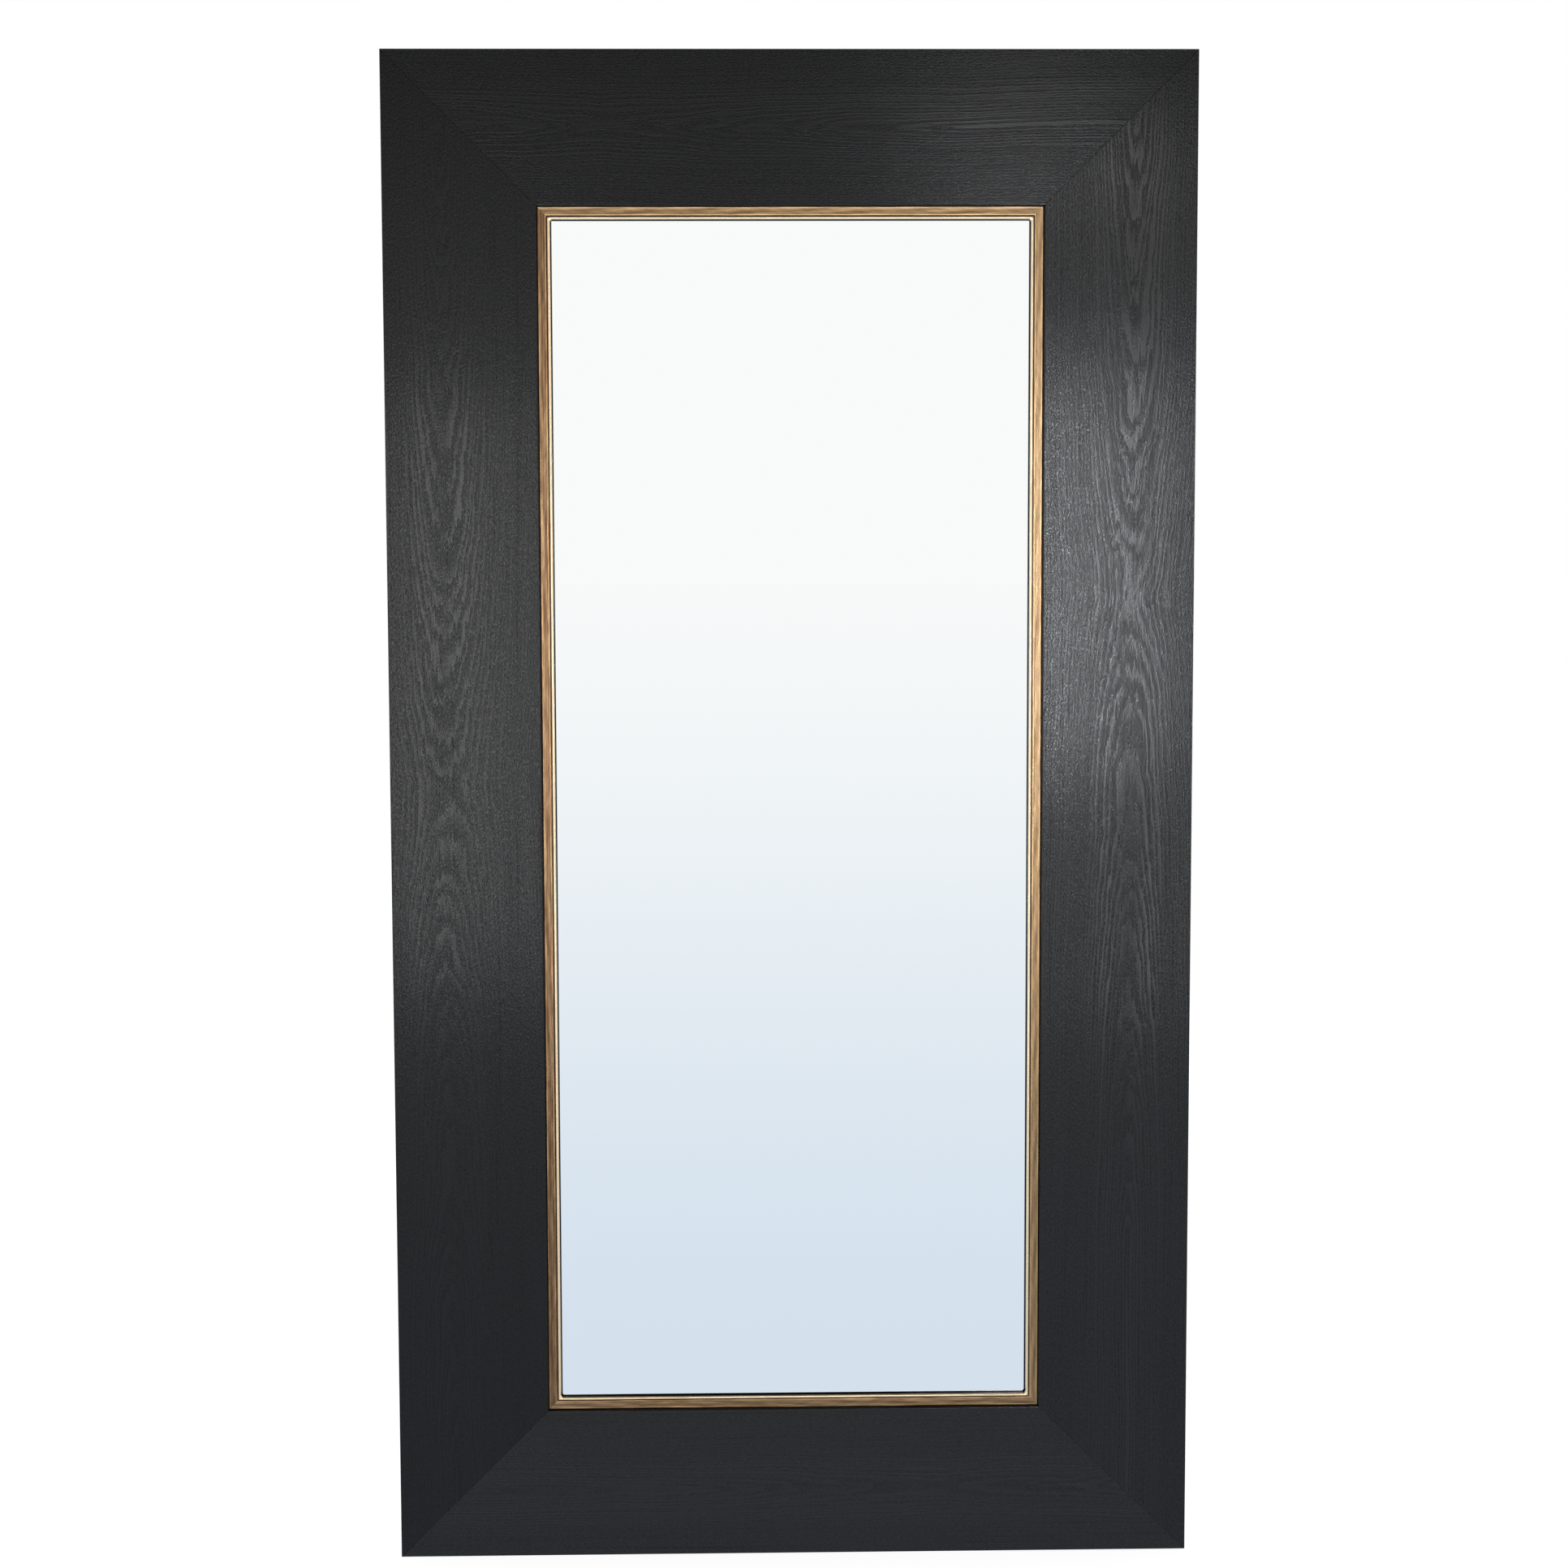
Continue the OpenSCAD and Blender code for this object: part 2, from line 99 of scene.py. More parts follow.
class Finish:
    """One finish made of nodes. Each call adds a node and gives back what it works out."""

    def __init__(self, name, owner=None):
        self.owner = owner or bpy.data.materials.new(name)
        self.owner.use_nodes = True
        self.tree = self.owner.node_tree
        self.tree.nodes.clear()

    def plug(self, socket, value):
        if isinstance(value, Number):
            value = value.socket
        if isinstance(value, bpy.types.NodeSocket):
            self.tree.links.new(value, socket)
        elif socket.type == "RGBA" and len(value) == 3:
            socket.default_value = (*value, 1)
        else:
            socket.default_value = value

    def add(self, kind, inputs=(), out=0, **settings):
        node = self.tree.nodes.new("ShaderNode" + kind)
        for name, value in settings.items():
            setattr(node, name, value)
        for name, value in dict(inputs).items():
            self.plug(node.inputs[name], value)
        return node.outputs[out]

    def split(self, vector):
        node = self.tree.nodes.new("ShaderNodeSeparateXYZ")
        self.tree.links.new(vector, node.inputs[0])
        return [Number(self, out) for out in node.outputs]

    def place(self):
        """The object's own x, y and z in millimetres."""
        return [metres * 1000.0 for metres in self.split(self.add("TexCoord", out="Object"))]

    def vector(self, x, y, z):
        return self.add("CombineXYZ", {"X": x, "Y": y, "Z": z})

    def noise(self, place, sizes, seed=0.0, detail=2.0):
        """Smooth noise of about -1 to 1, whose features have the given sizes along three axes."""
        x, y, z = (p / float(s) for p, s in zip(place, sizes))
        fac = self.add("TexNoise", {
            "Vector": self.vector(x + seed, y, z), "Scale": 1.0, "Detail": detail})
        return (Number(self, fac) - 0.5) * 3.0

    def blend(self, amount, first, second):
        """Goes from the first colour to the second as amount goes from 0 to 1."""
        return self.add("Mix", {0: amount, 6: first, 7: second}, out=2, data_type="RGBA")

    def relief(self, height, depth_mm):
        """Bump from a height of 0 to 1 that stands for depth_mm."""
        return self.add("Bump", {"Height": height, "Distance": depth_mm / 1000, "Strength": 1.0})

    def shade(self, **inputs):
        """The surface shader; underscores in the names stand for spaces."""
        node = self.tree.nodes.new("ShaderNodeBsdfPrincipled")
        for name, value in inputs.items():
            self.plug(node.inputs[name.replace("_", " ")], value)
        return node.outputs[0]

    def finish(self, surface, output="OutputMaterial"):
        node = self.tree.nodes.new("ShaderNode" + output)
        self.tree.links.new(surface, node.inputs["Surface"])
        return self.owner


def ray_kinds(finish):
    """Two numbers: 1 for rays of the camera, a mirror or a glass, and 1 for rays of the camera."""
    node = finish.tree.nodes.new("ShaderNodeLightPath")
    camera_ray, glossy, through = [
        Number(finish, node.outputs["Is %s Ray" % kind])
        for kind in ("Camera", "Glossy", "Transmission")]
    return camera_ray.most(glossy).most(through), camera_ray


FAR_WHITE = (1.0, 1.0, 1.0)
NEAR_BLUE = (0.70, 0.785, 0.89)
CEILING = (0.08, 0.08, 0.08)
CEILING_FROM, CEILING_TO = 0.092, 0.125
AMBIENT = 0.45

scene.world = world = bpy.data.worlds.new("white_room")
room = Finish("white_room", world)
shown, direct = ray_kinds(room)
# Above what the mirror shows, the room's reflection dims towards a darker ceiling
_, _, upward = room.split(room.add("TexCoord", out="Generated"))
dimmed = upward.rise(CEILING_FROM, CEILING_TO)
room.finish(room.add("MixShader", {
    0: shown,
    1: room.add("Background", {"Color": FAR_WHITE, "Strength": AMBIENT}),
    2: room.add("MixShader", {
        0: direct.rest() * dimmed,
        1: room.add("Background", {"Color": FAR_WHITE, "Strength": 1.0}),
        2: room.add("Background", {"Color": CEILING, "Strength": 1.0})}),
}), "OutputWorld")

FLOOR_HALF = 40.0
FLOOR_PALE = (0.8, 0.8, 0.8)
FLOOR_SHADED = (0.32, 0.32, 0.32)
FLOOR_GLOW = 0.86
CAMERA_AWAY = 4.1
FLOOR_BLUE_AT = 0.2

floor_mesh = bpy.data.meshes.new("floor")
floor_mesh.from_pydata(
    [(-FLOOR_HALF, -FLOOR_HALF, 0), (FLOOR_HALF, -FLOOR_HALF, 0),
     (FLOOR_HALF, FLOOR_HALF, 0), (-FLOOR_HALF, FLOOR_HALF, 0)], [], [(0, 1, 2, 3)])
floor = bpy.data.objects.new("floor", floor_mesh)
scene.collection.objects.link(floor)
pale = Finish("pale_floor")
shown, direct = ray_kinds(pale)
_, toward_back, _ = pale.place()
# The mirror's picture of the floor runs evenly with 1 / distance, so its colour does too
closeness = ((-toward_back).most(0.0) * 0.001 + CAMERA_AWAY) ** -1.0
near = closeness.rise(0.0, FLOOR_BLUE_AT)
plain = pale.add("BsdfDiffuse", {"Color": FLOOR_PALE})
# To the camera the floor is mostly glow, with enough shade of its own to keep the mirror's shadow
lit = pale.add("AddShader", {
    0: pale.add("BsdfDiffuse", {"Color": FLOOR_SHADED}),
    1: pale.add("Emission", {"Color": FAR_WHITE, "Strength": FLOOR_GLOW})})
mirrored = pale.add("Emission", {"Color": pale.blend(near, FAR_WHITE, NEAR_BLUE), "Strength": 1.0})
floor_mesh.materials.append(pale.finish(pale.add("MixShader", {
    0: shown, 1: plain, 2: pale.add("MixShader", {0: direct, 1: mirrored, 2: lit})})))


def soft_box(name, place, target, width, height, watts, tint=(1, 1, 1)):
    """A flat lamp that faces its target."""
    lamp = bpy.data.lights.new(name, "AREA")
    lamp.shape = "RECTANGLE"
    lamp.size, lamp.size_y = width, height
    lamp.energy = watts
    lamp.color = tint
    box = bpy.data.objects.new(name, lamp)
    box.location = place
    box.rotation_euler = (Vector(target) - Vector(place)).to_track_quat("-Z", "Y").to_euler()
    scene.collection.objects.link(box)


soft_box("right_box", (0.79, -4.1, 1.19), (0.3, 0, 1.1), 0.09, 1.05, 29, (0.93, 0.965, 1.0))
soft_box("low_box", (1.0, -4.1, 0.28), (0.3, 0, 1.0), 0.4, 0.5, 2.2)
soft_box("upper_box", (0.72, -4.1, 2.25), (0.2, 0, 1.6), 0.5, 0.2, 2.6)
soft_box("left_box", (-0.76, -4.05, 0.90), (-0.2, 0, 1.0), 0.40, 1.5, 20.5)
soft_box("back_box", (0.9, 4.0, 2.4), (0, 0, 1.0), 2.6, 2.6, 64)
soft_box("right_side_box", (5.2, 0.6, 2.0), (0, 0, 1.0), 2.2, 3.0, 40)
soft_box("left_side_box", (-5.2, 0.6, 2.0), (0, 0, 1.0), 2.2, 3.0, 40)


# Face boards: four wide boards of ash with open pores, stained black and given a satin lacquer,
# mitred at the corners. Each was sawn flat, so its rings show as nested flames about 75 mm in from
# its outer edge. From here on, places and sizes are in millimetres.
HALF_W, HALF_H = 530.0, 1000.0
RING, OVAL = 5.0, 1.3
STAIN_LATE = (0.0098, 0.0099, 0.0106)
STAIN_PORE = (0.0062, 0.0063, 0.0068)
JOINT_BLACK = (0.002, 0.002, 0.002)
JOINT_FROM, JOINT_TO = 0.25, 0.6
WOOD_DEEP, COAT_DEEP = 0.14, 0.05
LATE_ROUGH, PORE_ROUGHER, PORE_COAT = 0.24, 0.25, 0.05
HEART_LEAST = 4.0
LATE_STARTS, LATE_ENDS = (0.30, 0.85), (0.93, 1.0)
FLAMES_FADE = (28.0, 66.0)


def from_edges(x, z):
    """How far a place lies in from the frame's nearer side, and from its nearer end."""
    return x.size() * -1.0 + HALF_W, (z - HALF_H).size() * -1.0 + HALF_H


def ash(name, order, centre, seed, crook, heart=60.0, tilt=0.06, turn=(1, 0, 0), gloss=0.12,
        shine=0.42, figure=1.0):
    """Black-stained ash. order names the axes that run across, into and along the board.

    A ring's number is its distance from the tree's heart over the ring width, with the rings taken
    as ovals. The heart runs at centre across the board. It lies farthest off, at -heart into it,
    where along it is crook, and comes nearer by tilt on both sides of that, so that the rings draw
    nested flames. turn is the tangent of the brushed gloss, shine the lacquer's weight on late
    wood, and figure the flames' strength."""
    finish = Finish(name)
    place = finish.place()
    across, deep, along = board = [place[axis] for axis in order]
    # The trunk's long sway, then the waver of its lines
    side = (across - centre + finish.noise(board, (400, 400, 340), seed) * 6.0
            + finish.noise(board, (10, 60, 80), seed + 3, 1.0) * 0.7)
    rise = (finish.noise(board, (500, 500, 300), seed + 7, 1.0) * 7.0
            + finish.noise(board, (40, 60, 80), seed + 11, 1.0) * 3.0
            + finish.noise(board, (3.0, 60, 40), seed + 13, 1.0) * 2.0)
    below = (deep + (along - crook).size() * -tilt + heart + rise).most(HEART_LEAST)
    distance = (side * side * OVAL ** 2 + below * below) ** 0.5
    # Rings of uneven width, whose late wood is bolder in some stripes and near the flames
    uneven = finish.noise((distance, distance, along), (12, 12, 600), seed + 17)
    phase = (distance / RING + uneven * 0.55).part()
    bold = ((finish.noise(board, (24, 60, 700), seed + 31).rise(-0.6, 0.2) * 0.6 + 0.4)
            * (side.size().rise(*FLAMES_FADE) * -0.6 + 1.0) * figure)
    late = (phase.rise(*LATE_STARTS) - phase.rise(*LATE_ENDS)) * bold
    early = late.rest()
    # Fine pores that the relief shows, then flecks and long vessels that only dull the gloss
    stipple = finish.noise(board, (1.1, 1.1, 3.5), seed + 23).rise(-0.45, 0.45)
    pores = early * (stipple * 0.8 + 0.2) + stipple * late * 0.10
    flecks = finish.noise(board, (1.6, 1.6, 4.0), seed + 29, 1.0).rise(-0.5, 0.5)
    vessels = finish.noise(board, (2.6, 60, 300), seed + 37, 1.0).rise(0.1, 0.9)
    dull = (early * (stipple * 0.35 + flecks * 0.45 + vessels * 0.25 + 0.08)
            + flecks * late * 0.1)
    # The dark line of the mitre, where the ways in from the side and from the end are equal
    sides, ends = from_edges(place[0], place[2])
    joint = ((ends - sides).size() / math.sqrt(2)).rise(JOINT_FROM, JOINT_TO)
    height = pores * -1.0 + joint
    stain = finish.blend(pores, STAIN_LATE, STAIN_PORE)
    return finish.finish(finish.shade(
        Base_Color=finish.blend(joint, JOINT_BLACK, stain),
        Roughness=dull * PORE_ROUGHER + LATE_ROUGH,
        Specular_IOR_Level=gloss,
        Anisotropic=0.3,
        Tangent=finish.vector(*(float(part) for part in turn)),
        Coat_Weight=dull * (PORE_COAT - shine) + shine,
        Coat_Roughness=0.13,
        Coat_Normal=finish.relief(height, COAT_DEEP),
        Normal=finish.relief(height, WOOD_DEEP)))


def dress(node, material):
    """Gives a CAD node its finish."""
    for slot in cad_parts[node].material_slots:
        slot.material = material


dress("left_stile", ash("ash_left", (0, 1, 2), -455, 1.7, 1050, heart=124, tilt=0.1, shine=0.28,
                        figure=0.65))
dress("right_stile", ash("ash_right", (0, 1, 2), 450, 31.2, 1290, heart=108, tilt=0.09,
                         shine=0.47))
dress("top_rail", ash("ash_top", (2, 1, 0), 1905, 52.9, -250, turn=(0, 0, 1), gloss=0.08))
dress("bottom_rail", ash("ash_bottom", (2, 1, 0), 88, 77.4, 200, turn=(0, 0, 1), gloss=0.15))


# Edge boards: 18 mm ash, stained with the face boards, glued behind their outer edges to give the
# frame its depth. Their grain runs round the frame too.
for side, order, centre, seed, crook, heart in (
        ("left", (1, 0, 2), -40, 12.1, 900, 620), ("right", (1, 0, 2), -45, 23.8, 1200, -420),
        ("top", (1, 2, 0), -40, 44.3, 100, -1900), ("bottom", (1, 2, 0), -38, 66.6, -100, 70)):
    edge_ash = ash("ash_%s_edge" % side, order, centre, seed, crook, heart, turn=(0, 1, 0))
    dress(side + "_edge", edge_ash)


# Mitre biscuits: pressed beech, glued in slots across each mitre, out of sight.
# Their pressed surface shows short flecks.
BEECH_DARK, BEECH_LIGHT = (0.50, 0.34, 0.20), (0.66, 0.49, 0.31)

beech = Finish("pressed_beech")
fleck = beech.noise(beech.place(), (1.2, 1.2, 6), 3.0)
dress("mitre_biscuits", beech.finish(beech.shade(
    Base_Color=beech.blend(fleck.rise(-1, 1), BEECH_DARK, BEECH_LIGHT),
    Roughness=0.75, Normal=beech.relief(fleck, 0.1))))


# Slips: four narrow mouldings of gessoed wood, mitred, with a shallow hollow, a reed, a quirk and a
# bead along the sight edge, and a tongue that lies in the boards' rebate. They are covered in soft
# gilt, rubbed along its length so that brown bole shows in lines.
FRONT = -24.0
SLIP_FROM, SIGHT, EDGE_R = 200.8, 217.0, 0.4
FACE_DEEP, GLASS_DEEP, WALL_DEEP = 6.0, 12.0, 8.0
HOLLOW_AT, HOLLOW_HALF, HOLLOW_DEEP = 205.4, 3.2, 0.10
REED_AT, REED_HALF, REED_HIGH = 210.4, 1.5, 0.14
QUIRK_FROM, QUIRK_TO, QUIRK_DEEP = 212.1, 212.9, 6.9
BEAD_AT, BEAD_R = 215.0, 2.0
TONGUE_FROM, TONGUE_TO, TONGUE_FRONT, TONGUE_BACK = 190.5, 210.5, 10.0, 22.0
CORNER_EASE, EASE_FROM = 1.3, 209.0
NEAR_MITRE, FIRST_STATION, STATION = (0, 0.35, 0.8, 1.4, 2.2, 3.4, 5.0), 9.0, 6.0
RIPPLES = ((0.03, 11.3, 0.5, 1), (0.015, 4.7, -0.7, 2), (0.03, 23.0, 0.9, 0))
OUTER_BAND, BEAD_BAND, WALL_BAND = (SLIP_FROM, 201.5), (212.7, 213.1), (-18.6, -17.6)
QUIRK_STARTS, QUIRK_ENDS = (211.6, 212.2), (212.8, 213.5)
LEAF_LIGHT = (1.0, 0.63, 0.30)
LEAF_DARK = (0.32, 0.14, 0.045)
BOLE = (0.13, 0.058, 0.022)
# Paler leaf of the laps, which on the bead stands as a painted highlight
PALE_LEAF_AND_BEAD_HIGHLIGHT = (0.88, 0.70, 0.47)
# Painted shade for the quirk, the outer edge by the boards and the wall behind the bead
PAINTED_SHADE_DARK = (0.018, 0.010, 0.007)


def arc(middle, deep, radius, first, last, count):
    """Points of a round, from the first to the last angle in degrees."""
    turn = np.radians(np.linspace(first, last, count))
    return np.column_stack([middle + radius * np.cos(turn), deep - radius * np.sin(turn)])


def shallow(middle, half, deep, sink, count):
    """Points of deep + sink * (1 - ((u - middle) / half) ** 2) across a hollow or a reed."""
    u = np.linspace(middle - half, middle + half, count)
    return np.column_stack([u, deep + sink * (1 - ((u - middle) / half) ** 2)])


def slip_section():
    """Points of the section, as inward from the frame's outer edge and deep from its front."""
    return np.concatenate([
        arc(SLIP_FROM + EDGE_R, FACE_DEEP + EDGE_R, EDGE_R, 180, 90, 5),
        shallow(HOLLOW_AT, HOLLOW_HALF, FACE_DEEP, HOLLOW_DEEP, 11),
        shallow(REED_AT, REED_HALF, FACE_DEEP + 0.1, -REED_HIGH, 9),
        [[QUIRK_FROM, QUIRK_DEEP], [QUIRK_TO, QUIRK_DEEP]],
        arc(BEAD_AT, FACE_DEEP, BEAD_R, 180, 0, 15),
        [[SIGHT, GLASS_DEEP], [TONGUE_TO, GLASS_DEEP], [TONGUE_TO, TONGUE_BACK],
         [TONGUE_FROM, TONGUE_BACK], [TONGUE_FROM, TONGUE_FRONT], [SLIP_FROM, TONGUE_FRONT]]])


def solid(name, points, faces):
    """A new object with the given points in millimetres and faces, linked to the scene."""
    mesh = bpy.data.meshes.new(name)
    mesh.from_pydata((np.asarray(points) / 1000.0).tolist(), [], faces)
    piece = bpy.data.objects.new(name, mesh)
    scene.collection.objects.link(piece)
    return piece


def tube_faces(rows, columns):
    """Faces of a closed tube of rows by columns points: its quads and a cap at each end."""
    row, column = np.meshgrid(np.arange(rows - 1), np.arange(columns), indexing="ij")
    here, beside = row * columns + column, row * columns + (column + 1) % columns
    quads = np.stack([here, beside, beside + columns, here + columns], -1).reshape(-1, 4)
    first = np.arange(columns)
    return quads.tolist() + [first[::-1].tolist(), (first + (rows - 1) * columns).tolist()]


def moulding(name, side):
    """The section carried from mitre to mitre.

    Towards the sight edge the corner is rounded: the path leaves the straight line by
    ease * (1 - way / 2 ease) ** 2, where way is the distance from the mitre. The gilt lies in low
    ripples, the sum of high * sin(along / pace + inward * slant + times * phase)."""
    inward, deep = slip_section().T
    upright = side in ("left", "right")
    reach, out = (HALF_H, HALF_W) if upright else (HALF_W, HALF_H)
    eased = np.clip((inward - EASE_FROM) / (SIGHT - EASE_FROM), 0, 1) ** 2
    ease = CORNER_EASE * eased * (deep < GLASS_DEEP)
    length = reach - SIGHT
    even = np.linspace(FIRST_STATION, length, int(length / STATION))
    way = np.concatenate([NEAR_MITRE, even])[:, None]
    drop = ease * np.clip(1 - way / np.maximum(2 * ease, 1e-6), 0, 1) ** 2
    along = (reach - inward - ease) - way * (reach - inward - ease) / length
    along = np.concatenate([along, -along[-2::-1]])
    drop = np.concatenate([drop, drop[-2::-1]])
    phase = {"left": 0.3, "right": 2.1, "top": 4.0, "bottom": 5.2}[side]
    ripple = sum(high * np.sin(along / pace + inward * slant + times * phase)
                 for high, pace, slant, times in RIPPLES)
    depth = FRONT + deep + ripple * (deep < WALL_DEEP)
    away = out - inward - drop
    if side in ("left", "bottom"):
        away = -away
    if upright:
        points = np.stack([away, depth, HALF_H + along], -1)
    else:
        points = np.stack([along, depth, HALF_H + away], -1)
    faces = tube_faces(*along.shape)
    if side in ("left", "top"):
        faces = [face[::-1] for face in faces]
    return solid(name, points.reshape(-1, 3), faces)


def leaf(name, along_axis, seed, kept_and_lit, rough):
    """Soft gilt rubbed along the moulding: lines and bands of leaf and bole, clouds, and laps.

    The fourth argument says how much leaf the rubbing left on that slip, more above 0 and less
    below.
    Set per slip, it is also painted light and shade: the top slip lighter, the left and bottom
    darker."""
    finish = Finish(name)
    x, y, z = place = finish.place()
    sides, ends = from_edges(x, z)
    inward = sides.least(ends)
    path = (inward, y, place[along_axis])
    lines = finish.noise(path, (0.75, 3.0, 70), seed)
    threads = finish.noise(path, (0.45, 2.0, 16), seed + 3, 1.0)
    bands = finish.noise(path, (1.7, 6.0, 130), seed + 7, 1.0)
    clouds = finish.noise(path, (5, 9, 26), seed + 5)
    laps = finish.noise(path, (30, 30, 1.6), seed + 9, 1.0).rise(0.8, 1.15)
    wear = (lines * 0.7 + threads * 0.45 + bands * 0.8 + clouds * 0.3 + kept_and_lit).rise(-0.8, 0.9)
    bole = (lines * -0.7 + threads * -0.4 - bands * 0.7 - kept_and_lit).rise(0.6, 1.3) * 0.85
    # The bead gets paler leaf as a painted highlight, and the quirk, the outer edge by the boards
    # and the wall behind get a dark painted shade
    bead_highlight = inward.rise(*BEAD_BAND)
    quirk_shade = inward.rise(*QUIRK_STARTS) - inward.rise(*QUIRK_ENDS)
    outer = inward.rise(*OUTER_BAND).rest()
    wall_shade = y.rise(*WALL_BAND)
    face = finish.blend(bole, finish.blend(wear, LEAF_DARK, LEAF_LIGHT), BOLE)
    # The bead's paler leaf is a painted highlight
    rim = finish.blend(wear * -0.5 + 0.5, PALE_LEAF_AND_BEAD_HIGHLIGHT, LEAF_LIGHT)
    colour = finish.blend(laps * 0.5, finish.blend(bead_highlight, face, rim), PALE_LEAF_AND_BEAD_HIGHLIGHT)
    return finish.finish(finish.shade(
        Base_Color=finish.blend(quirk_shade.most(outer).most(wall_shade), colour, PAINTED_SHADE_DARK),
        Metallic=0.85, Roughness=bole * 0.25 + rough, Coat_Weight=0.12, Coat_Roughness=0.2,
        Normal=finish.relief(lines * 0.4 + threads * 0.3 + laps * 0.3, 0.09)))


# The fourth number is partly painted light and shade: the top slip lighter, left and bottom darker
for side, axis, seed, kept_and_lit, rough in (
        ("left", 2, 4.4, -0.1, 0.30), ("right", 2, 17.1, 0.7, 0.28),
        ("top", 0, 29.6, 1.0, 0.36), ("bottom", 0, 38.3, 0.2, 0.33)):
    gilt_slip = moulding("gilt_slip_" + side, side)
    gilt_slip.data.materials.append(leaf("leaf_" + side, axis, seed, kept_and_lit, rough))
    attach(gilt_slip, "frame")
    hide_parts(side + "_slip")


# Mirror: one sheet of 5 mm float glass, silvered. Its ground edges are green, and its back is
# covered with grey paint.
CLEAR_FROM, CLEAR_TO = 218.2, 219.2
RIM_FROM, RIM_TO = 212.3, 212.6
GLASS_FRONT = FRONT + GLASS_DEEP
SILVERED, PAINTED_REBATE_REFLECTION = (0.94, 0.957, 0.95), (0.02, 0.02, 0.022)
PAINT_DARK, PAINT_LIGHT = (0.16, 0.17, 0.18), (0.22, 0.23, 0.24)
RIM_DARK, RIM_LIGHT = (0.03, 0.10, 0.07), (0.05, 0.14, 0.10)

silver = Finish("silvered_glass")
x, y, z = silver.place()
sides, ends = from_edges(x, z)
inward = sides.least(ends)
# The silvering lies behind 5 mm of glass; the dark rebate it would show there is a painted
# reflection, a dark line along the sight edge
clear = inward.rise(CLEAR_FROM, CLEAR_TO)
front = silver.shade(
    Base_Color=silver.blend(clear, PAINTED_REBATE_REFLECTION, SILVERED), Metallic=1.0, Roughness=0.0)
mottle = silver.noise((x, y, z), (3, 3, 3), 2.0).rise(-1, 1)
paint = silver.shade(Base_Color=silver.blend(mottle, PAINT_DARK, PAINT_LIGHT), Roughness=0.6)
rim = silver.shade(Base_Color=silver.blend(mottle, RIM_DARK, RIM_LIGHT), Roughness=0.3)
back = silver.add("MixShader", {0: inward.rise(RIM_FROM, RIM_TO), 1: rim, 2: paint})
dress("mirror_glass", silver.finish(silver.add("MixShader", {
    0: y.rise(GLASS_FRONT + 0.1, GLASS_FRONT + 0.3), 1: front, 2: back})))


# Setting blocks and packing: two black rubber blocks that the glass stands on, and a sheet of
# corrugated card that is pressed behind it.
RUBBER_DARK, RUBBER_LIGHT = (0.012, 0.012, 0.013), (0.03, 0.03, 0.03)
CARD_DARK, CARD_LIGHT = (0.36, 0.24, 0.14), (0.52, 0.37, 0.23)
FLUTE_PITCH = 7.0

rubber = Finish("rubber")
grit = rubber.noise(rubber.place(), (0.8, 0.8, 0.8), 1.0)
rubber_black = rubber.finish(rubber.shade(
    Base_Color=rubber.blend(grit.rise(-1, 1), RUBBER_DARK, RUBBER_LIGHT),
    Roughness=0.8, Normal=rubber.relief(grit, 0.15)))
dress("glass_setting_blocks", rubber_black)
card = Finish("packing_card")
x, y, z = card.place()
flutes = (x * (2 * math.pi / FLUTE_PITCH)).math("SINE")
fibre = card.noise((x, y, z), (2, 2, 8), 5.0)
tone = (flutes * 0.2 + fibre * 0.5).rise(-1, 1)
dress("backing_sheet", card.finish(card.shade(
    Base_Color=card.blend(tone, CARD_DARK, CARD_LIGHT),
    Roughness=0.9, Normal=card.relief(flutes, 0.2))))


# Back panel: 4 mm fibreboard, brown and smooth behind with a faint fibre pattern, held by pan-head
# screws.
PANEL_DARK, PANEL_LIGHT = (0.17, 0.098, 0.052), (0.29, 0.18, 0.10)

board = Finish("fibreboard")
place = board.place()
fibre = board.noise(place, (1.2, 1.2, 3.0), 8.0, 4.0)
clouds = board.noise(place, (140, 140, 190), 9.0)
tone = (fibre * 0.5 + clouds * 0.4).rise(-1, 1)
dress("back_panel", board.finish(board.shade(
    Base_Color=board.blend(tone, PANEL_DARK, PANEL_LIGHT),
    Roughness=0.62, Normal=board.relief(fibre, 0.08))))


# Battens: planed pine, screwed over the boards round the opening to keep them flat. Each was cut
# from beside the tree's heart.
PINE_RING = 4.2
PINE_EARLY = (0.60, 0.40, 0.21)
PINE_LATE = (0.34, 0.17, 0.065)


def pine(name, order, centre, heart, seed):
    """Planed pine. A ring's number is its distance from the heart over the ring width, and the
    heart lies at centre across the batten and at -heart into it."""
    finish = Finish(name)
    place = finish.place()
    across, deep, along = batten = [place[axis] for axis in order]
    side = across - centre + finish.noise(batten, (300, 300, 240), seed) * 5.0
    below = deep + heart + finish.noise(batten, (300, 300, 300), seed + 5) * 5.0
    distance = (side * side + below * below) ** 0.5
    uneven = finish.noise((distance, distance, along), (11, 11, 400), seed + 8)
    phase = (distance / PINE_RING + uneven * 0.5).part()
    late = phase.rise(0.25, 0.92) * phase.rise(0.94, 1.0).rest()
    fibre = finish.noise(batten, (0.7, 0.7, 30), seed + 13)
    return finish.finish(finish.shade(
        Base_Color=finish.blend(late * 0.8 + fibre * 0.08, PINE_EARLY, PINE_LATE),
        Roughness=0.62, Normal=finish.relief(late * 0.6 + fibre * 0.4, 0.1)))


dress("left_batten", pine("pine_left", (0, 1, 2), -372, 22, 3.3))
dress("right_batten", pine("pine_right", (0, 1, 2), 390, 27, 14.9))
dress("top_batten", pine("pine_top", (2, 1, 0), 1860, 24, 25.2))
dress("bottom_batten", pine("pine_bottom", (2, 1, 0), 140, 20, 36.8))


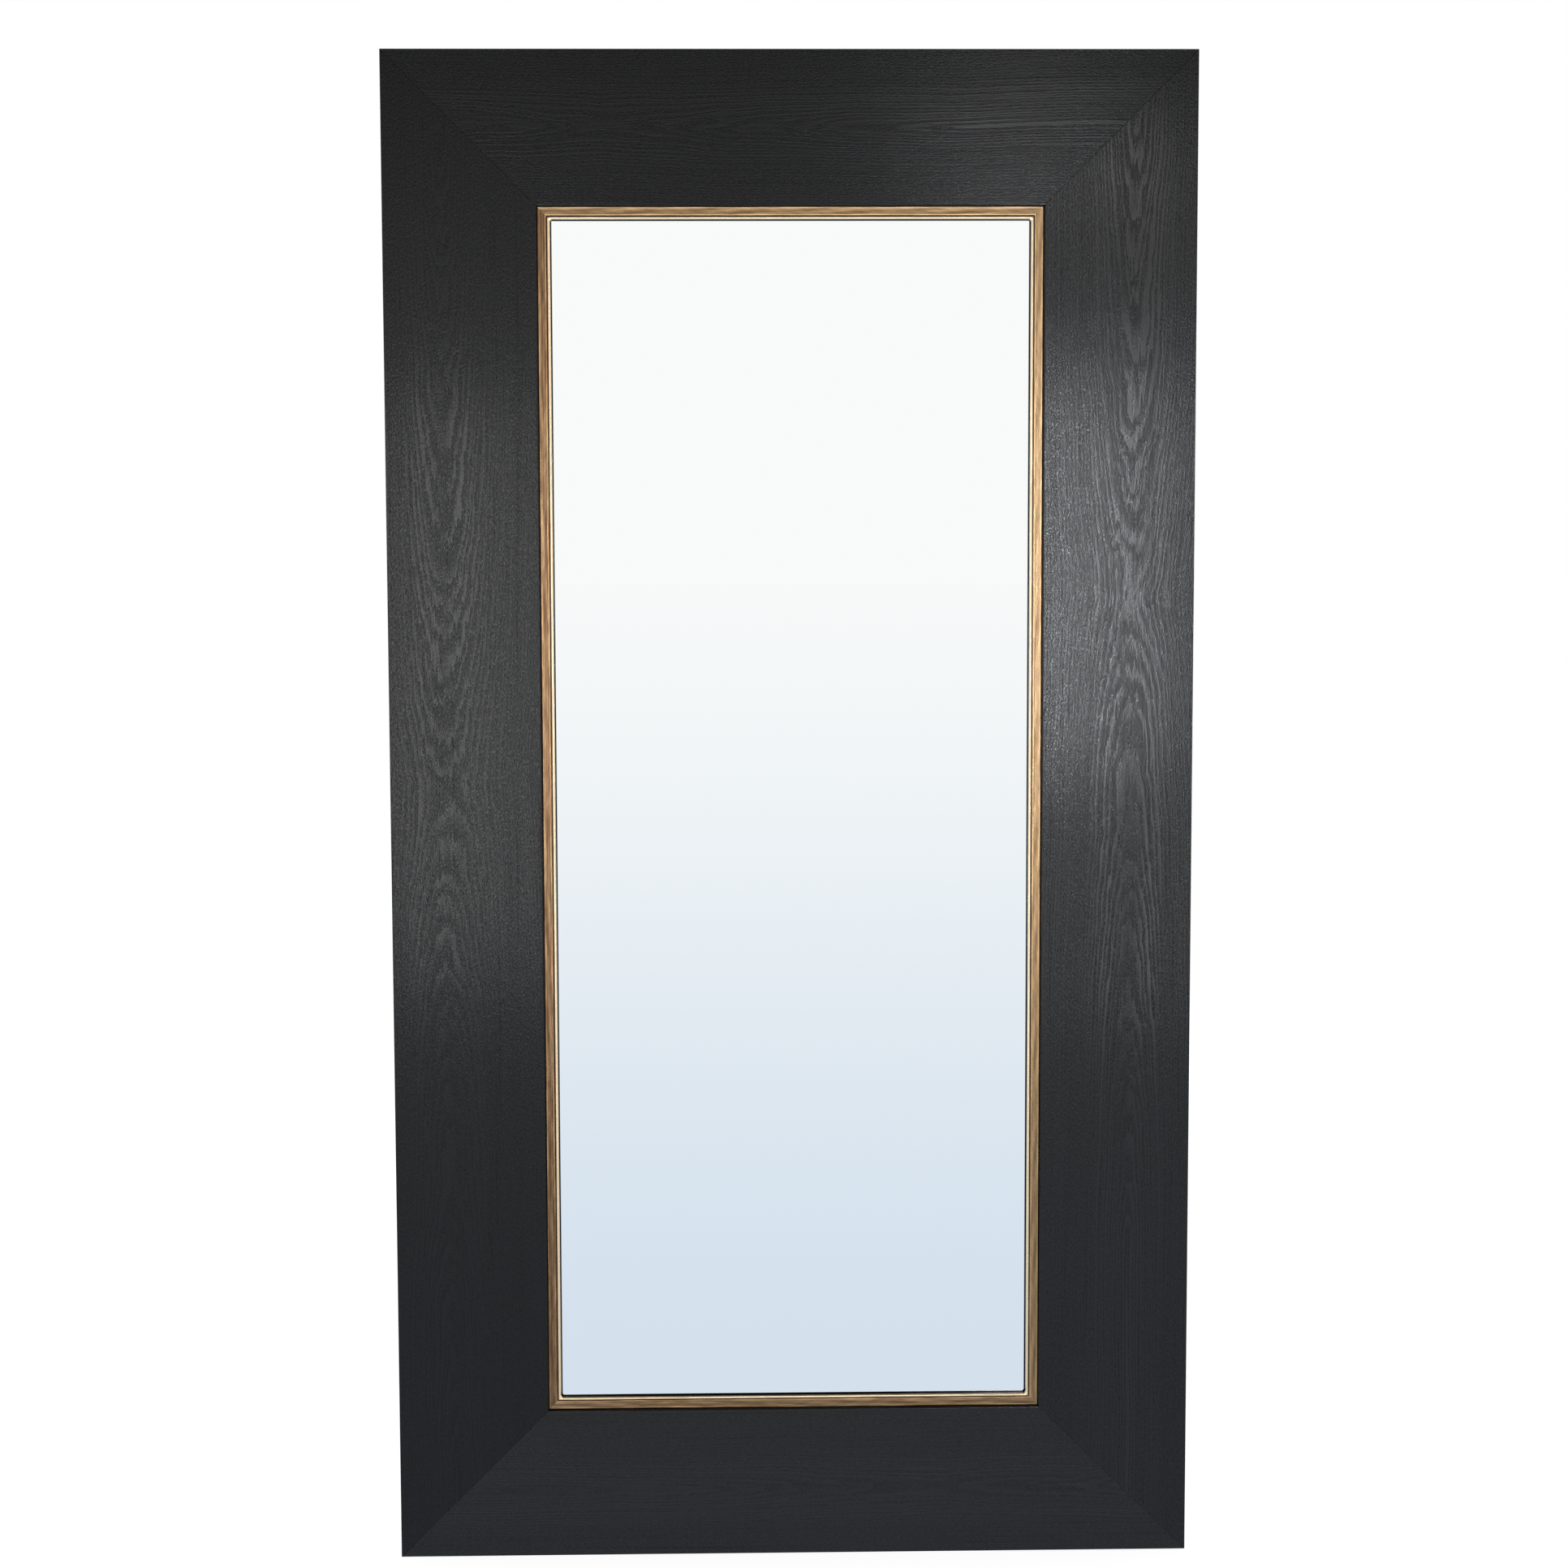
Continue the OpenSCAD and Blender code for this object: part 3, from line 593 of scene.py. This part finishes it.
# Steelwork: pressed corner angles and strap hangers with loose D-rings, all in bright zinc plate
# with a faint spangle and fine scratches.
ZINC_DARK, ZINC_LIGHT = (0.42, 0.44, 0.47), (0.66, 0.68, 0.70)


def plated(name, dark, light, seed):
    """Zinc plate, whose spangle and scratches change its tone and its gloss a little."""
    finish = Finish(name)
    place = finish.place()
    spangle = finish.noise(place, (5, 5, 5), seed, 3.0)
    scratch = finish.noise(place, (0.4, 0.4, 9), seed + 4, 1.0)
    return finish.finish(finish.shade(
        Base_Color=finish.blend((spangle * 0.6 + scratch * 0.3).rise(-1, 1), dark, light),
        Metallic=1.0, Roughness=spangle * 0.06 + 0.34, Normal=finish.relief(scratch, 0.03)))


zinc = plated("zinc_plate", ZINC_DARK, ZINC_LIGHT, 2.0)
for node in ("corner_plate_top_left", "corner_plate_top_right", "corner_plate_bottom_left",
             "corner_plate_bottom_right", "left_hanger_plate", "right_hanger_plate",
             "left_hanger_ring", "right_hanger_ring"):
    dress(node, zinc)


# Screws: 4 mm wood screws with a cross recess and yellow zinc plate, driven from behind. The back
# panel's have pan heads, and the rest have flat heads sunk in the battens, corner angles and
# straps.
SHANK_R, CORE_R, HEAD_R, THREAD_PITCH, POINT = 2.0, 1.35, 4.0, 1.8, 4.0
PAN_HIGH, FLAT_HIGH, NECK = 2.4, 2.0, 1.5
HEAD_RINGS = (2.6, 2.9, 3.2, 3.5, 3.75, 3.92)
CROSS_REACH, CROSS_HALF, CROSS_DEEP = 2.3, 0.5, 1.8
YELLOW_DARK, YELLOW_LIGHT = (0.48, 0.38, 0.20), (0.72, 0.60, 0.34)


def screw_rings(length, domed):
    """Turn, radius and height of one screw's rings, from recess to point, with the head's top at 0.

    The recess's edge lies at the lesser of reach / cos and half / sin of the angle from the nearest
    arm. A pan head is the cap of a sphere. The thread's radius is
    core + (shank - core) * (1 - |2 f - 1|), where f is the fraction of depth / pitch + turn, and it
    tapers over the point."""
    corner = math.atan2(CROSS_HALF, CROSS_REACH)
    arm = np.array([-math.pi / 4, -0.5, -corner, 0.0, corner, 0.5])
    half_over_sine = CROSS_HALF / np.maximum(np.abs(np.sin(arm)), 1e-6)
    cross = np.tile(np.minimum(CROSS_REACH / np.cos(arm), half_over_sine), 4)
    turn = (arm + np.arange(4)[:, None] * math.pi / 2).ravel()
    ones = np.ones_like(turn)
    top = np.vstack([cross, cross + 0.1, np.outer(HEAD_RINGS, ones)])
    if domed:
        cap_r = (HEAD_R ** 2 + PAN_HIGH ** 2) / (2 * PAN_HIGH)
        top_y = np.sqrt(cap_r ** 2 - top ** 2) - cap_r
        high, under = PAN_HIGH, HEAD_R * 0.98
        rim_y = [-high + 0.12, -high, -high, -high - NECK]
    else:
        top_y = top * 0.0
        high, under = FLAT_HIGH, HEAD_R
        rim_y = [-0.08, -0.2, -high, -high - NECK]
    rim = [HEAD_R, under, SHANK_R, SHANK_R]
    down = np.arange(high + NECK + 0.3, length, THREAD_PITCH / 4)[:, None]
    ridge = 1 - np.abs(2 * ((down / THREAD_PITCH + turn / (2 * math.pi)) % 1) - 1)
    thread = (CORE_R + (SHANK_R - CORE_R) * ridge) * np.clip((length - down) / POINT, 0.06, 1)
    radius = np.vstack([cross * 0.4, cross * 0.85, top, np.outer(rim, ones), thread])
    height = np.vstack([-CROSS_DEEP * ones, top_y[0] * 0.8 - 0.5, top_y,
                        np.outer(rim_y, ones), -down * ones])
    return turn, radius, height


def screws(name, node, domed=False):
    """Screws at the places of a CAD node's screws, each turned its own way, as one mesh."""
    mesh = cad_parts[node].data
    rest = np.empty(len(mesh.vertices) * 3)
    mesh.vertices.foreach_get("co", rest)
    rest = rest.reshape(-1, 3) * 1000
    places = []
    while len(rest):
        near = np.hypot(rest[:, 0] - rest[0, 0], rest[:, 2] - rest[0, 2]) < 2.2 * HEAD_R
        low, high = rest[near].min(0), rest[near].max(0)
        places.append([(low[0] + high[0]) / 2, high[1], (low[2] + high[2]) / 2, high[1] - low[1]])
        rest = rest[~near]
    x, y, z, length = np.array(places).T[:, :, None, None]
    turn, radius, height = screw_rings(length.max(), domed)
    stop = np.random.default_rng(5).uniform(0, 2 * math.pi, len(places))[:, None, None]
    points = np.stack([x + radius * np.cos(turn + stop), y + height + stop * 0,
                       z + radius * np.sin(turn + stop)], -1)
    faces = [[corner + number * radius.size for corner in face]
             for number in range(len(places)) for face in tube_faces(*radius.shape)]
    piece = solid(name, points.reshape(-1, 3), faces)
    piece.data.materials.append(yellow_zinc)
    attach(piece, "frame")
    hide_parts(node)


yellow_zinc = plated("yellow_zinc", YELLOW_DARK, YELLOW_LIGHT, 6.0)
screws("pan_screws", "panel_screws", domed=True)
screws("batten_flat_screws", "batten_screws")
screws("angle_flat_screws", "corner_plate_screws")
screws("strap_flat_screws", "hanger_screws")


# Wall bumpers: moulded rubber buttons, stuck to the edge boards' corners behind, which keep the
# frame off the wall. They are of the setting blocks' black rubber.
dress("wall_bumpers", rubber_black)
